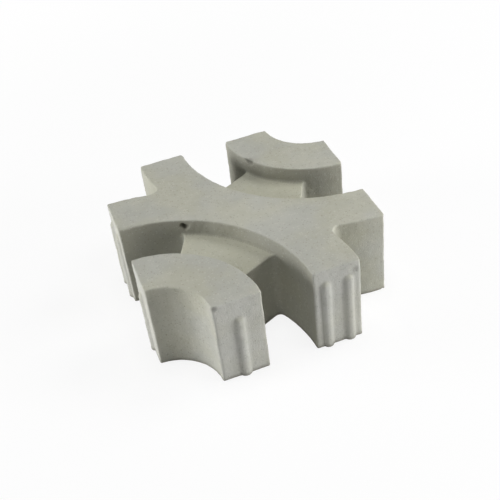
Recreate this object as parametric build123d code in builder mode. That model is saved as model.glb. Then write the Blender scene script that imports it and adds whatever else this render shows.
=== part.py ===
from build123d import *
import os
from math import cos, radians, sin

# Driving dimensions, in millimetres and degrees
corner_opening = 40      # open space left at each of the four corners
arm_width = 40           # width of every arm, across its end face
slot_width = 40          # curved slot between a corner ring and the middle body
height = 80              # base to walking face
web_drop = 14            # web tops lie this far below the walking face
web_half_angle = 19.5    # half the angle that a web spans, seen from its corner
web_flare = 5            # rounding where a web meets the middle body
web_root_round = 3       # rounding where a web meets its ring
notch_round = 6          # rounding where two arms of the middle body part
corner_round = 1.5       # upright edges of the arm ends
arris_round = 1          # edges of the walking face
nib_width = 9            # upright spacer nibs that stand proud of the end faces
nib_depth = 2.5
nib_pitch = 19           # between the two nibs of a body arm
ring_nib_drop = 18       # a ring's nibs end this far below the walking face
body_nib_drop = 12       # and so do those of the middle body's arms

# Plan radii about the front left corner, and the same about the back right corner
ring_inner = corner_opening
ring_outer = ring_inner + arm_width
body_inner = ring_outer + slot_width
body_outer = body_inner + arm_width
ring_middle = (ring_inner + ring_outer) / 2
body_middle = (body_inner + body_outer) / 2
half_side = (body_outer + corner_opening) / 2
front_left = (-half_side, -half_side)
back_right = (half_side, half_side)
quarter_turn = 90
diagonal = quarter_turn / 2

# A nib is part of a round bar with a ball on top, whose axis stands inside the end face
nib_radius = (nib_width**2 / 4 + nib_depth**2) / (2 * nib_depth)
nib_axis = nib_radius - nib_depth

# Two lengths nearer than this are the same
tolerance = 0.01


def polar(radius, angle):
    return (radius * cos(radians(angle)), radius * sin(radians(angle)))


def quarter_band(inner, outer):
    # Quarter of a circular band about the origin, from the X axis to the Y axis
    with BuildSketch() as band:
        with BuildLine():
            outer_arc = CenterArc((0, 0), outer, 0, quarter_turn)
            inner_arc = CenterArc((0, 0), inner, 0, quarter_turn)
            Line(inner_arc @ 0, outer_arc @ 0)
            Line(inner_arc @ 1, outer_arc @ 1)
        make_face()
    return band.sketch


def nib_places(middle, across):
    # Nib axes at the two ends of a quarter band, one end on the X axis and one on the Y axis
    ends = [Location((middle, 0, 0)), Location((0, middle, 0), (0, 0, -quarter_turn))]
    return [end * Location((offset, nib_axis, 0)) for end in ends for offset in across]


def reach(vertex):
    # Distance to the nearer of the two corners that the stone is drawn about
    return min((Vector(*vertex) - Vector(*corner)).length for corner in (front_left, back_right))


def is_at_end(vertex):
    # True at the corners of an end face, sharp or rounded
    return max(abs(vertex.X), abs(vertex.Y)) > half_side - 2 * corner_round


ring_band = quarter_band(ring_inner, ring_outer)
body_band = quarter_band(body_inner, body_outer)
ring_nibs = nib_places(ring_middle, (0,))
body_nibs = nib_places(body_middle, (-nib_pitch / 2, nib_pitch / 2))

# Web on the diagonal through its corner, run well into the ring and the middle body
with BuildSketch() as web:
    with BuildLine():
        Polyline(
            polar(ring_middle, diagonal - web_half_angle),
            polar(body_middle, diagonal - web_half_angle),
            polar(body_middle, diagonal + web_half_angle),
            polar(ring_middle, diagonal + web_half_angle),
            close=True,
        )
    make_face()

with BuildPart() as paving_stone:
    # Two corner rings, and the middle body that two crossing bands make
    with BuildSketch() as arms:
        with PolarLocations(0, 2):
            with Locations(front_left):
                add(ring_band)
                add(body_band)
        fillet(arms.vertices().filter_by(is_at_end, reverse=True), notch_round)
        fillet(arms.vertices().filter_by(is_at_end), corner_round)
    extrude(amount=height)

    # Recessed webs that tie each ring to the middle body
    with BuildSketch() as webbed_arms:
        add(arms.sketch)
        with PolarLocations(0, 2):
            with Locations(front_left):
                add(web.sketch)
        flares = webbed_arms.vertices().filter_by(
            lambda v: not is_at_end(v) and abs(reach(v) - body_inner) < tolerance
        )
        fillet(flares, web_flare)
        roots = webbed_arms.vertices().filter_by(
            lambda v: not is_at_end(v) and abs(reach(v) - ring_outer) < tolerance
        )
        fillet(roots, web_root_round)
    extrude(amount=height - web_drop)

    # Softened edges round the walking face
    walking_face = paving_stone.faces().filter_by(Plane.XY).group_by(Axis.Z)[-1]
    fillet(walking_face.edges(), arris_round)

    # Upright nibs, one on each ring's end and two on each body arm's end
    with PolarLocations(0, 2):
        with Locations(front_left):
            for places, drop in ((ring_nibs, ring_nib_drop), (body_nibs, body_nib_drop)):
                shoulder = height - drop - nib_width / 2
                with Locations(*places):
                    Cylinder(nib_radius, shoulder, align=(Align.CENTER, Align.CENTER, Align.MIN))
                    with Locations((0, 0, shoulder)):
                        Sphere(nib_radius)

paving_stone.part.label = "paving_stone"

os.makedirs("parts", exist_ok=True)
export_step(paving_stone.part, "parts/paving_stone.step")
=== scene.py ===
import math

import bmesh
import bpy
import numpy as np
from mathutils import Matrix, Vector


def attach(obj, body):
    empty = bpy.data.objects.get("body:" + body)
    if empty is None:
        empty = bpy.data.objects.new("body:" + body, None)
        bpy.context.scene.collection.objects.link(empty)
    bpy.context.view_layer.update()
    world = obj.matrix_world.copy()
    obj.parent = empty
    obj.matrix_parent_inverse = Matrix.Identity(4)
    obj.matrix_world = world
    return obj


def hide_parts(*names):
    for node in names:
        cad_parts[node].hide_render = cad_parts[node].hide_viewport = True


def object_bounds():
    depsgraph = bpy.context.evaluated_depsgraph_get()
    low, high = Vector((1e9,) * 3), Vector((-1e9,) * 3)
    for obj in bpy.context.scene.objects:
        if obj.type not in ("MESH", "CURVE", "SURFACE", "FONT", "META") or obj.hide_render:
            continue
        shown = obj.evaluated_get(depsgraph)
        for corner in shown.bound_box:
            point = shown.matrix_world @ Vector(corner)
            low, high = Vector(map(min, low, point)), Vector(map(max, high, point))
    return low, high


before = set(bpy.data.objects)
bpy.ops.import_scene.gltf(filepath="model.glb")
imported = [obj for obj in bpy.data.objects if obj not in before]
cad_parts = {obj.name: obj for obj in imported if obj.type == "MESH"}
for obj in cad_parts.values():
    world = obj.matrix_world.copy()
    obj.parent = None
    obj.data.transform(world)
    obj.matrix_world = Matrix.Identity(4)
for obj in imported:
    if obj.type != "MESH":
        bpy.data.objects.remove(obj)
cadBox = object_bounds()
print("frame loaded")


# Node helpers, for the relief tree and the materials alike

class Wire:
    # One output of a node, to be used in a sum
    def __init__(self, maker, socket):
        self.maker = maker
        self.socket = socket

    def maths(self, operation, *values):
        return self.maker.add("ShaderNodeMath", {"operation": operation}, dict(enumerate(values)))

    def __add__(self, other):
        return self.maths("ADD", self, other)

    __radd__ = __add__

    def __mul__(self, other):
        return self.maths("MULTIPLY", self, other)

    __rmul__ = __mul__

    def __sub__(self, other):
        return self.maths("SUBTRACT", self, other)

    def __rsub__(self, other):
        return self.maths("SUBTRACT", other, self)

    def atMost(self, other):
        return self.maths("MINIMUM", self, other)

    def atLeast(self, other):
        return self.maths("MAXIMUM", self, other)


class NodeMaker:
    def __init__(self, tree):
        self.tree = tree
        tree.nodes.clear()

    def write(self, socket, value):
        # A link where the value is another node's output, or else the value itself
        if isinstance(value, Wire):
            self.tree.links.new(value.socket, socket)
        elif isinstance(value, tuple) and socket.type == "RGBA" and len(value) == 3:
            socket.default_value = (*value, 1)
        else:
            socket.default_value = value

    def node(self, kind, settings=None, sockets=None):
        made = self.tree.nodes.new(kind)
        for name, value in (settings or {}).items():
            setattr(made, name, value)
        for key, value in (sockets or {}).items():
            self.write(made.inputs[key], value)
        return made

    def add(self, kind, settings=None, sockets=None, out=0):
        return Wire(self, self.node(kind, settings, sockets).outputs[out])

    def ramp(self, value, low, high, start=0.0, end=1.0, smooth=True):
        # start up to low, end from high on
        kind = "SMOOTHSTEP" if smooth else "LINEAR"
        return self.add("ShaderNodeMapRange", {"interpolation_type": kind}, {
            "Value": value, "From Min": low, "From Max": high, "To Min": start, "To Max": end,
        })

    def noise(self, vector, scale, detail, roughness, seed):
        return self.add("ShaderNodeTexNoise", {"noise_dimensions": "4D"}, {
            "Vector": vector, "Scale": scale, "Detail": detail, "Roughness": roughness, "W": seed,
        })

    def blendColours(self, share, first, second):
        # The colour sockets of a Mix node are the ones at these places
        return self.add("ShaderNodeMix", {"data_type": "RGBA", "clamp_factor": True},
                        {0: share, 6: first, 7: second}, out=2)


# Cast concrete

concrete = {
    # Colours
    "warmPaste": (0.408, 0.404, 0.334),   # the cement paste drifts between these
    "coolPaste": (0.384, 0.387, 0.352),
    "paleBlotch": (0.470, 0.468, 0.415),
    "darkBlotch": (0.318, 0.316, 0.262),
    "paleSand": (0.56, 0.55, 0.49),
    "darkSand": (0.20, 0.195, 0.165),
    "poreShade": (0.130, 0.126, 0.100),
    "arrisWearAndHighlight": (0.50, 0.497, 0.445),   # rubbed edges are paler, partly as a painted highlight
    # painted shade in the inner corners
    "cornerPaintedShade": (0.27, 0.266, 0.22),
    # darker towards the foot of the walls
    "footDarkening": (0.22, 0.216, 0.18),
    "slotPaintedShade": (0.270, 0.265, 0.212),   # painted shade: the walls of the slots are darker
    "endPaintedLight": (0.540, 0.540, 0.520),    # painted light: the arm ends are paler and cooler
    "webShade": (0.420, 0.415, 0.315),    # the recessed webs are warmer
    # painted shade in the hollows
    "hollowShade": (0.105, 0.102, 0.082),

    # How much of each colour shows
    "blotchShare": 0.30,
    "slotShare": 0.30,
    "endShare": 0.20,
    "cloudyShare": 0.30,                  # more of the slot and end colours where the clouds are
    "webShare": 0.55,
    "sandShare": 0.30,
    "poreShare": 0.50,
    "paleStreakShare": 0.22,
    "darkStreakShare": 0.32,
    "arrisShare": 0.32,
    "cornerShadeShare": 0.55,
    "hollowShare": 0.85,
    "footShare": 0.2,
    "cloudyFootShare": 0.6,

    # Noises: scale per metre, detail, roughness and seed
    "blotch": (16.0, 4.0, 0.55, 1.7),
    "cloud": (112.0, 3.0, 0.6, 5.1),
    "hue": (25.6, 3.0, 0.5, 9.4),
    "streak": (240.0, 3.0, 0.6, 3.3),
    "streakPatch": (22.0, 2.0, 0.5, 8.8),
    "crumble": (420.0, 3.0, 0.65, 2.2),
    "grit": (900.0, 3.0, 0.7, 6.4),
    "skin": (190.0, 3.0, 0.6, 7.5),
    "streakStretch": 0.07,                # height of a streak's cell, against its width

    # Where a ramp starts and where it is full
    "hueRamp": (0.38, 0.62),
    "toneRamp": (0.36, 0.64),
    "blotchPart": 0.65,                   # of the tone, with the clouds for the rest
    "cloudPart": 0.35,
    "webTopRamp": (0.070, 0.074),         # the web tops lie below the first level
    "grainRamp": (0.25, 0.55),
    "paleGrainRamp": (0.80, 0.86),
    "darkGrainRamp": (0.12, 0.17),
    "poreRamp": (0.70, 1.0),
    "poreEdgeRamp": (-0.02, 0.10),
    "paleStreakRamp": (0.52, 0.72),
    "darkStreakRamp": (0.30, 0.46),
    "streakPatchRamp": (0.42, 0.62),
    "arrisRamp": (0.35, 0.95),
    "cornerShadeRamp": (0.25, 0.9),
    "footRamp": (0.0004, 0.0046),
    "arrisBase": 0.45,                    # crumbling edges: a base, and more with the noise
    "arrisCrumble": 0.9,
    "cornerShadeBase": 0.4,
    "cornerShadeClouds": 1.1,

    # Grains and pores
    "sandScale": 620.0,
    "poreScale": 330.0,
    "poreReach": 0.20,                    # share of a pore's cell
    "wallRamp": (0.1, 0.9),
    "flatPores": 0.7,                     # size of a pore on a level face, against one on a wall

    # Fine relief: the part of each in the height, and the surface
    "gritHeight": 0.42,
    "skinHeight": 0.40,
    "grainHeight": 0.16,
    "streakHeight": 0.35,
    "poreHeight": 0.9,
    "bumpDepth": 0.00045,
    "roughness": 0.88,
    "roughnessSpread": 0.06,
    "gritRamp": (0.3, 0.7),
    "shine": 0.12,
}


def makeConcrete():
    material = bpy.data.materials.new("castConcrete")
    material.use_nodes = True
    n = NodeMaker(material.node_tree)
    place = n.add("ShaderNodeTexCoord", out=3)
    level = n.add("ShaderNodeSeparateXYZ", {}, {0: place}, out=2)

    def given(name):
        return concrete[name]

    def noise(name, vector=place):
        return n.noise(vector, *given(name))

    def ramp(value, name):
        return n.ramp(value, *given(name))

    def fall(value, name):
        # From full down to nothing
        return n.ramp(value, *given(name), 1.0, 0.0)

    def stored(name):
        return n.add("ShaderNodeAttribute", {"attribute_name": name}, out=2)

    def cells(scaleName, colourPart):
        # Distance from the middle of a cell, and a random number for that cell
        made = n.node("ShaderNodeTexVoronoi", {"feature": "F1"},
                      {"Vector": place, "Scale": given(scaleName), "Randomness": 1.0})
        colour = {"Color": Wire(n, made.outputs["Color"])}
        pick = n.add("ShaderNodeSeparateColor", {}, colour, out=colourPart)
        return Wire(n, made.outputs["Distance"]), pick

    side, rubbed, corner = stored("wallShare"), stored("rubbedEdge"), stored("innerCorner")
    slotWall, endFace, hollow = stored("slotWall"), stored("endFace"), stored("hollowShare")

    # Tone and hue that drift over a few centimetres, and finer clouds in them
    blotch, cloud, hue = noise("blotch"), noise("cloud"), noise("hue")
    paste = n.blendColours(ramp(hue, "hueRamp"), given("warmPaste"), given("coolPaste"))
    tone = ramp(blotch * given("blotchPart") + cloud * given("cloudPart"), "toneRamp")
    shade = n.blendColours(tone, given("darkBlotch"), given("paleBlotch"))
    colour = n.blendColours(given("blotchShare"), paste, shade)

    # Painted shade on the slot walls, painted light on the arm ends, and warmer web tops
    clouded = cloud * given("cloudyShare")
    colour = n.blendColours(slotWall * (given("slotShare") + clouded), colour, given("slotPaintedShade"))
    colour = n.blendColours(endFace * (given("endShare") + clouded), colour, given("endPaintedLight"))
    webTop = fall(level, "webTopRamp") * (1 - side)
    colour = n.blendColours(webTop * given("webShare"), colour, given("webShade"))

    # Sand grains in the paste
    grainDistance, grainPick = cells("sandScale", 0)
    grainBody = fall(grainDistance, "grainRamp")
    paleGrain = ramp(grainPick, "paleGrainRamp") * grainBody
    darkGrain = fall(grainPick, "darkGrainRamp") * grainBody
    colour = n.blendColours(paleGrain * given("sandShare"), colour, given("paleSand"))
    colour = n.blendColours(darkGrain * given("sandShare"), colour, given("darkSand"))

    # Open pores with painted shade in them, larger ones on the upright faces
    poreDistance, porePick = cells("poreScale", 1)
    poreSize = (n.ramp(porePick, *given("poreRamp"), 0.0, given("poreReach"), smooth=False)
                * n.ramp(side, *given("wallRamp"), given("flatPores"), 1.0))
    pore = ramp(poreSize - poreDistance, "poreEdgeRamp")
    colour = n.blendColours(pore * given("poreShare"), colour, given("poreShade"))

    # Drag marks that the mould leaves on the upright faces
    stretched = n.add("ShaderNodeMapping", {},
                      {"Vector": place, "Scale": (1.0, 1.0, given("streakStretch"))})
    streak = noise("streak", stretched)
    streakShare = side * ramp(noise("streakPatch"), "streakPatchRamp")
    paleStreak = ramp(streak, "paleStreakRamp") * streakShare
    darkStreak = fall(streak, "darkStreakRamp") * streakShare
    colour = n.blendColours(paleStreak * given("paleStreakShare"), colour, given("paleBlotch"))
    colour = n.blendColours(darkStreak * given("darkStreakShare"), colour, given("darkBlotch"))

    # Rubbed arrises are pale, partly as a painted highlight; inner corners and hollows get painted
    # shade
    crumbled = given("arrisBase") + noise("crumble") * given("arrisCrumble")
    edgeWearAndHighlight = ramp(rubbed * crumbled, "arrisRamp")
    colour = n.blendColours(edgeWearAndHighlight * given("arrisShare"), colour, given("arrisWearAndHighlight"))
    cornerShade = ramp(corner * (given("cornerShadeBase") + cloud * given("cornerShadeClouds")), "cornerShadeRamp")
    colour = n.blendColours(cornerShade * given("cornerShadeShare"), colour, given("cornerPaintedShade"))
    colour = n.blendColours(hollow * given("hollowShare"), colour, given("hollowShade"))

    # Darker towards the foot of the walls
    foot = fall(level, "footRamp") * (given("footShare") + cloud * given("cloudyFootShare"))
    colour = n.blendColours(foot, colour, given("footDarkening"))

    # Height of the fine relief
    grit = noise("grit")
    height = (grit * given("gritHeight") + noise("skin") * given("skinHeight")
              + grainBody * given("grainHeight") + streak * streakShare * given("streakHeight"))
    height = height - pore * given("poreHeight")
    bump = n.add("ShaderNodeBump", {},
                 {"Strength": 1.0, "Distance": given("bumpDepth"), "Height": height})

    smoothest = given("roughness") - given("roughnessSpread")
    roughest = given("roughness") + given("roughnessSpread")
    shader = n.add("ShaderNodeBsdfPrincipled", {}, {
        "Base Color": colour,
        "Roughness": n.ramp(grit, *given("gritRamp"), smoothest, roughest),
        "Normal": bump,
        "Specular IOR Level": given("shine"),
    })
    n.node("ShaderNodeOutputMaterial", {}, {"Surface": shader})
    return material


concreteMaterial = makeConcrete()
print("concrete mixed")


# The stone

stone = {
    "meshStep": 0.0014,       # edge of a mesh face
    "mergeReach": 1e-6,
    "wearPasses": 4,          # more passes rub the arrises rounder
    "wearLeast": 0.25,
    "wearMost": 1.0,
    "wearAtBase": 0.25,       # share of the wear that is left at the base
    "baseRamp": (0.0015, 0.006),
    "baseSnap": 0.0009,       # what lies lower than this is pressed flat onto the base
    "waveDepth": 0.00045,     # slow unevenness of the cast faces
    "waveScale": 55.0,
    "tampDepth": 0.00022,     # finer unevenness
    "tampScale": 260.0,
    "pitDepth": 0.0011,
    "pitScale": 62.0,
    "pitWidth": 0.13,         # share of a pit cell
    "arrisSpare": 0.5,        # how much less is cut at an arris
    "seed": 4.0,
    "halfSide": 0.100,        # to the faces of the arm ends
    "slotFrom": 0.080,        # the slots lie between these, measured from their corner
    "slotTo": 0.120,

    # Noises: scale per metre, detail and roughness
    "uneven": (70.0, 3.0, 0.6),
    "waveGrain": (2.0, 0.5),
    "tampGrain": (2.0, 0.55),

    # Where a ramp starts and where it is full
    "arrisRamp": (-0.0006, -0.00008),     # bend of the surface, below 0 where it is convex
    "sharpRamp": (-0.0008, -0.0003),      # leaves out the round nibs
    "innerRamp": (0.00008, 0.0006),
    "wallRamp": (0.4, 0.8),
    "slotFromRamp": (-0.003, -0.0015),
    "slotToRamp": (0.0015, 0.003),
    "endRamp": (-0.0014, -0.0006),
    "nibRamp": (0.0002, 0.0008),
    "unevenRamp": (0.35, 0.68),
    "noiseRamp": (0.3, 0.7),
    "pitRamp": (0.55, 1.0),               # of all cells, those above the first have a pit
    "pitEdgeRamp": (-0.01, 0.10),

    # Place, reach, depth and painted darkness of each hollow, and of one darker patch, that shows
    # in the photograph
    "hollows": [
        # Air hole in the body's wall, above the front left web
        ((-0.0490, 0.0086, 0.0742), 0.0030, 0.0026, 1.0),
        ((-0.0475, 0.0079, 0.0722), 0.0028, 0.0020, 0.83),
        ((-0.0458, 0.0070, 0.0738), 0.0028, 0.0011, 0.46),
        # Knocks on the arm ends
        ((-0.0585, -0.1000, 0.0770), 0.0034, 0.0012, 0.5),
        ((0.0545, -0.1000, 0.0715), 0.0040, 0.0007, 0.3),
        # Knock on the back right ring, and a darker patch that has no depth
        ((0.0275, 0.0640, 0.0795), 0.0040, 0.0017, 0.6),
        ((0.0300, 0.0615, 0.0785), 0.0046, 0.0022, 0.7),
        ((0.0315, 0.0590, 0.0730), 0.0130, 0.0, 0.28),
    ],
    "hollowRim": 1.6,         # faces are made smaller this many reaches out
    "hollowCurve": 1.5,
}


def copyOfNode(name, pieceName):
    # The node's mesh is loose triangles, so a copy is merged first
    merged = bmesh.new()
    merged.from_mesh(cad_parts[name].data)
    bmesh.ops.remove_doubles(merged, verts=merged.verts, dist=stone["mergeReach"])
    mesh = bpy.data.meshes.new(pieceName)
    merged.to_mesh(mesh)
    merged.free()
    piece = bpy.data.objects.new(pieceName, mesh)
    bpy.context.scene.collection.objects.link(piece)
    return piece


def applyModifiers(piece):
    depsgraph = bpy.context.evaluated_depsgraph_get()
    evaluated = piece.evaluated_get(depsgraph)
    mesh = bpy.data.meshes.new_from_object(
        evaluated, preserve_all_data_layers=True, depsgraph=depsgraph)
    piece.modifiers.clear()
    piece.data = mesh


# The relief tree's inputs and the values they are set to
reliefInputs = {
    "Wear Least": "wearLeast", "Wear Most": "wearMost",
    "Wave Depth": "waveDepth", "Wave Scale": "waveScale",
    "Tamp Depth": "tampDepth", "Tamp Scale": "tampScale",
    "Pit Depth": "pitDepth", "Pit Scale": "pitScale", "Pit Width": "pitWidth",
    "Seed": "seed", "Half Side": "halfSide", "Slot From": "slotFrom", "Slot To": "slotTo",
}


def makeReliefTree():
    tree = bpy.data.node_groups.new("castRelief", "GeometryNodeTree")
    n = NodeMaker(tree)
    face = tree.interface
    face.new_socket("Geometry", in_out="INPUT", socket_type="NodeSocketGeometry")
    for name in reliefInputs:
        face.new_socket(name, in_out="INPUT", socket_type="NodeSocketFloat")
    face.new_socket("Wear Passes", in_out="INPUT", socket_type="NodeSocketInt")
    face.new_socket("Finish", in_out="INPUT", socket_type="NodeSocketMaterial")
    face.new_socket("Geometry", in_out="OUTPUT", socket_type="NodeSocketGeometry")
    given = n.node("NodeGroupInput")

    def wanted(name):
        return Wire(n, given.outputs[name])

    def ramp(value, name):
        return n.ramp(value, *stone[name])

    def fall(value, name):
        # From full down to nothing
        return n.ramp(value, *stone[name], 1.0, 0.0)

    def vectorMaths(operation, first, second, out=0):
        return n.add("ShaderNodeVectorMath", {"operation": operation}, {0: first, 1: second}, out)

    def scaled(vector, factor):
        return n.add("ShaderNodeVectorMath", {"operation": "SCALE"}, {0: vector, "Scale": factor})

    def parts(vector):
        made = n.node("ShaderNodeSeparateXYZ", {}, {0: vector})
        return [Wire(n, made.outputs[index]) for index in range(3)]

    def size(value):
        return value.maths("ABSOLUTE", value)

    place = n.add("GeometryNodeInputPosition")
    facing = n.add("GeometryNodeInputNormal")
    across, along, level = parts(place)
    seed = wanted("Seed")

    # How far the surface bends: below 0 at an arris, above 0 in an inner corner
    blurred = n.add("GeometryNodeBlurAttribute", {"data_type": "FLOAT_VECTOR"},
                    {"Value": place, "Iterations": wanted("Wear Passes")})
    pull = vectorMaths("SUBTRACT", blurred, place)
    bend = vectorMaths("DOT_PRODUCT", pull, facing, out=1)
    arris = fall(bend, "arrisRamp")
    sharpest = fall(bend, "sharpRamp")
    inner = ramp(bend, "innerRamp")

    # Slot walls and arm ends, by their distance from the nearer ring corner and from the middle
    wallShare = 1 - size(parts(facing)[2])
    wall = ramp(wallShare, "wallRamp")
    halfSide = wanted("Half Side")
    flat = n.add("ShaderNodeCombineXYZ", {}, {0: across, 1: along})
    corners = [n.add("ShaderNodeCombineXYZ", {}, {0: offset, 1: offset})
               for offset in (halfSide, halfSide * -1)]
    reach = [vectorMaths("DISTANCE", flat, corner, out=1) for corner in corners]
    reach = reach[0].atMost(reach[1])
    slotWall = (ramp(reach - wanted("Slot From"), "slotFromRamp")
                * fall(reach - wanted("Slot To"), "slotToRamp") * wall)
    beyond = size(across).atLeast(size(along)) - halfSide
    endFace = ramp(beyond, "endRamp") * wall.atLeast(ramp(beyond, "nibRamp"))

    # Arrises rubbed away by uneven amounts, and hardly at the base
    uneven = ramp(n.noise(place, *stone["uneven"], seed + 1), "unevenRamp")
    wear = arris * (wanted("Wear Least") + uneven * (wanted("Wear Most") - wanted("Wear Least")))
    wear = wear * n.ramp(level, *stone["baseRamp"], stone["wearAtBase"], 1.0)
    rubbed = scaled(pull, wear)

    # Slow waves, finer tamping marks and scattered pits, all cut into the faces
    wave = ramp(n.noise(place, wanted("Wave Scale"), *stone["waveGrain"], seed + 2), "noiseRamp")
    tamp = ramp(n.noise(place, wanted("Tamp Scale"), *stone["tampGrain"], seed + 3), "noiseRamp")
    cells = n.node("ShaderNodeTexVoronoi", {"voronoi_dimensions": "4D", "feature": "F1"},
                   {"Vector": place, "Scale": wanted("Pit Scale"), "W": seed + 4})
    pick = parts(Wire(n, cells.outputs["Color"]))[0]
    pitReach = wanted("Pit Width") * n.ramp(pick, *stone["pitRamp"], smooth=False)
    pit = ramp(pitReach - Wire(n, cells.outputs["Distance"]), "pitEdgeRamp")
    cut = wave * wanted("Wave Depth") + tamp * wanted("Tamp Depth") + pit * wanted("Pit Depth")
    # Less is cut at an arris, so that the edges keep their line
    cut = cut * (1 - arris * stone["arrisSpare"])
    offset = vectorMaths("ADD", rubbed, scaled(facing, cut * -1))

    shape = Wire(n, given.outputs["Geometry"])
    for name, value in (("wallShare", wallShare), ("rubbedEdge", sharpest), ("innerCorner", inner),
                        ("slotWall", slotWall), ("endFace", endFace)):
        shape = n.add("GeometryNodeStoreNamedAttribute", {"data_type": "FLOAT", "domain": "POINT"},
                      {"Geometry": shape, "Name": name, "Value": value})
    shape = n.add("GeometryNodeSetPosition", {}, {"Geometry": shape, "Offset": offset})
    shape = n.add("GeometryNodeRealizeInstances", {}, {"Geometry": shape})
    shape = n.add("GeometryNodeSetMaterial", {}, {"Geometry": shape, "Material": wanted("Finish")})
    n.node("NodeGroupOutput", {}, {"Geometry": shape})
    return tree


def setModifierInput(modifier, name, value):
    for item in modifier.node_group.interface.items_tree:
        if item.item_type == "SOCKET" and item.in_out == "INPUT" and item.name == name:
            modifier[item.identifier] = value


def cutHollows(mesh):
    # Smaller faces round each hollow first, then its points are pushed in and given their share of
    # painted shade
    worked = bmesh.new()
    worked.from_mesh(mesh)
    share = worked.verts.layers.float.new("hollowShare")
    for centre, reach, depth, _ in stone["hollows"]:
        if depth == 0:
            continue
        rim = reach * stone["hollowRim"]
        near = [edge for edge in worked.edges if (edge.verts[0].co - Vector(centre)).length < rim]
        bmesh.ops.subdivide_edges(worked, edges=near, cuts=1, use_grid_fill=True)
    worked.normal_update()
    moves = {}
    for centre, reach, depth, darkness in stone["hollows"]:
        for point in worked.verts:
            away = (point.co - Vector(centre)).length / reach
            if away < 1:
                fall = (1 - away * away) ** stone["hollowCurve"]
                moves[point] = moves.get(point, Vector()) - point.normal * depth * fall
                point[share] = min(1, point[share] + fall * darkness)
    for point, move in moves.items():
        point.co += move
    worked.to_mesh(mesh)
    worked.free()


def makeStone():
    outline = copyOfNode("paving_stone", "stoneOutline")
    piece = bpy.data.objects.new("castStone", outline.data.copy())
    bpy.context.scene.collection.objects.link(piece)

    # Even faces, then every point back on the exact surface
    remesh = piece.modifiers.new("evenFaces", "REMESH")
    remesh.mode = "VOXEL"
    remesh.voxel_size = stone["meshStep"]
    remesh.adaptivity = 0
    wrap = piece.modifiers.new("ontoSurface", "SHRINKWRAP")
    wrap.target = outline
    wrap.wrap_method = "NEAREST_SURFACEPOINT"
    applyModifiers(piece)
    print("even mesh", len(piece.data.polygons), "faces")

    relief = piece.modifiers.new("castRelief", "NODES")
    relief.node_group = makeReliefTree()
    for socketName, key in reliefInputs.items():
        setModifierInput(relief, socketName, stone[key])
    setModifierInput(relief, "Wear Passes", stone["wearPasses"])
    setModifierInput(relief, "Finish", concreteMaterial)
    applyModifiers(piece)
    bpy.data.objects.remove(outline)

    mesh = piece.data
    cutHollows(mesh)
    points = np.zeros(len(mesh.vertices) * 3)
    mesh.vertices.foreach_get("co", points)
    points = points.reshape(-1, 3)
    low, high = (np.array(corner) for corner in cadBox)
    flatBase = points[:, 2] < stone["baseSnap"]
    points[flatBase, 2] = low[2]
    points = np.clip(points, low, high)
    mesh.vertices.foreach_set("co", points.ravel())
    mesh.update()
    for polygon in mesh.polygons:
        polygon.use_smooth = True
    print("stone relief", len(mesh.polygons), "faces")
    return piece


castStone = makeStone()
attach(castStone, "root")
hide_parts("paving_stone")


# Floor, light and camera

studio = {
    "floorHalf": 6.0,
    "floorColour": (0.86, 0.86, 0.86),
    "floorGlow": 0.84,             # share of plain white that the camera sees on the floor
    "fadeFrom": 0.16,              # and the floor is all white from the second distance on
    "fadeTo": 0.75,
    "plainWhite": (1, 1, 1, 1),
    "worldStrength": 0.02,
    "lampDistance": 1.6,
    # Azimuth and elevation in degrees, side in metres, watts
    "lamps": {
        "topLight": (0.0, 90.0, 0.6, 12.0),
        "leftLight": (165.0, 10.0, 0.6, 25.0),
        "rightLight": (330.0, 10.0, 0.6, 19.5),
        "highLight": (0.0, 45.0, 0.6, 10.0),
        "frontLight": (245.0, 10.0, 0.6, 2.4),
    },
}

# Camera fitted to the photograph; angles in degrees, the lens and its sensor in millimetres
viewpoint = {
    "focalLength": 66.9,
    "sensorWidth": 36.0,
    "distance": 0.7808,
    "azimuth": -15.56,
    "elevation": 40.13,
    "roll": -7.44,
    "target": (0.00105, -0.00658, 0.0401),
    "nearest": 0.01,
    "farthest": 50,
}


def seenDirectly(n):
    # 1 for rays from the camera, a mirror or glass
    rays = n.node("ShaderNodeLightPath")
    return (Wire(n, rays.outputs["Is Camera Ray"])
            .atLeast(Wire(n, rays.outputs["Is Glossy Ray"]))
            .atLeast(Wire(n, rays.outputs["Is Transmission Ray"])))


def makeFloor():
    half = studio["floorHalf"]
    mesh = bpy.data.meshes.new("studioFloor")
    corners = [(-half, -half, 0), (half, -half, 0), (half, half, 0), (-half, half, 0)]
    mesh.from_pydata(corners, [], [(0, 1, 2, 3)])
    floor = bpy.data.objects.new("studioFloor", mesh)
    bpy.context.scene.collection.objects.link(floor)
    material = bpy.data.materials.new("paleFloor")
    material.use_nodes = True
    n = NodeMaker(material.node_tree)
    matt = n.add("ShaderNodeBsdfDiffuse", {}, {"Color": (*studio["floorColour"], 1)})
    glow = n.add("ShaderNodeEmission", {}, {"Color": studio["plainWhite"], "Strength": 1.0})
    place = n.add("ShaderNodeTexCoord", out=3)
    away = n.add("ShaderNodeVectorMath", {"operation": "LENGTH"}, {0: place}, out=1)
    white = n.ramp(away, studio["fadeFrom"], studio["fadeTo"], studio["floorGlow"], 1.0)
    mixed = n.add("ShaderNodeMixShader", {}, {0: seenDirectly(n) * white, 1: matt, 2: glow})
    n.node("ShaderNodeOutputMaterial", {}, {"Surface": mixed})
    mesh.materials.append(material)
    return floor


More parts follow.
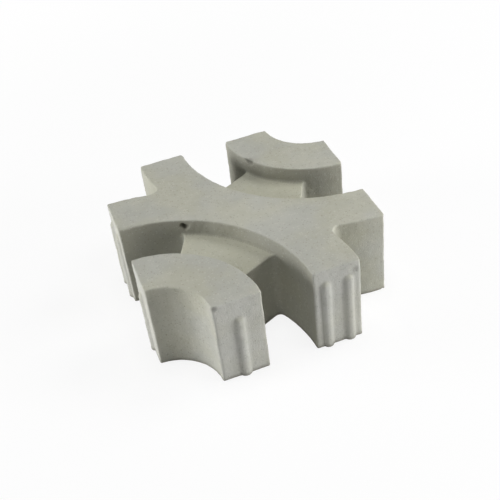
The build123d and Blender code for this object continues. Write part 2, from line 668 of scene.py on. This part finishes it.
def makeWorld():
    world = bpy.data.worlds.new("studioWorld")
    bpy.context.scene.world = world
    world.use_nodes = True
    n = NodeMaker(world.node_tree)
    strength = n.ramp(seenDirectly(n), 0.0, 1.0, studio["worldStrength"], 1.0, smooth=False)
    back = n.add("ShaderNodeBackground", {}, {"Color": studio["plainWhite"], "Strength": strength})
    n.node("ShaderNodeOutputWorld", {}, {"Surface": back})


def makeLamp(name, azimuth, elevation, side, watts):
    lamp = bpy.data.lights.new(name, "AREA")
    lamp.shape = "SQUARE"
    lamp.size = side
    lamp.energy = watts
    light = bpy.data.objects.new(name, lamp)
    bpy.context.scene.collection.objects.link(light)
    turn, rise = math.radians(azimuth), math.radians(elevation)
    level = math.cos(rise)
    direction = Vector((math.cos(turn) * level, math.sin(turn) * level, math.sin(rise)))
    light.location = direction * studio["lampDistance"]
    light.rotation_mode = "QUATERNION"
    light.rotation_quaternion = direction.to_track_quat("Z", "Y")


def makeCamera():
    lens = bpy.data.cameras.new("photoView")
    lens.lens = viewpoint["focalLength"]
    lens.sensor_width = viewpoint["sensorWidth"]
    lens.clip_start = viewpoint["nearest"]
    lens.clip_end = viewpoint["farthest"]
    camera = bpy.data.objects.new("photoView", lens)
    bpy.context.scene.collection.objects.link(camera)
    azimuth, elevation, roll = (
        math.radians(viewpoint[key]) for key in ("azimuth", "elevation", "roll"))
    flatShare = math.cos(elevation)
    back = Vector((math.sin(azimuth) * flatShare, -math.cos(azimuth) * flatShare,
                   math.sin(elevation)))
    level = Vector((math.cos(azimuth), math.sin(azimuth), 0))
    upright = back.cross(level)
    right = level * math.cos(roll) + upright * math.sin(roll)
    up = upright * math.cos(roll) - level * math.sin(roll)
    turn = Matrix((right, up, back)).transposed().to_4x4()
    stand = Vector(viewpoint["target"]) + back * viewpoint["distance"]
    camera.matrix_world = Matrix.Translation(stand) @ turn
    bpy.context.scene.camera = camera


makeFloor()
makeWorld()
for lampName, lampValues in studio["lamps"].items():
    makeLamp(lampName, *lampValues)
makeCamera()
bpy.context.scene.view_settings.view_transform = "Standard"
print("studio ready")
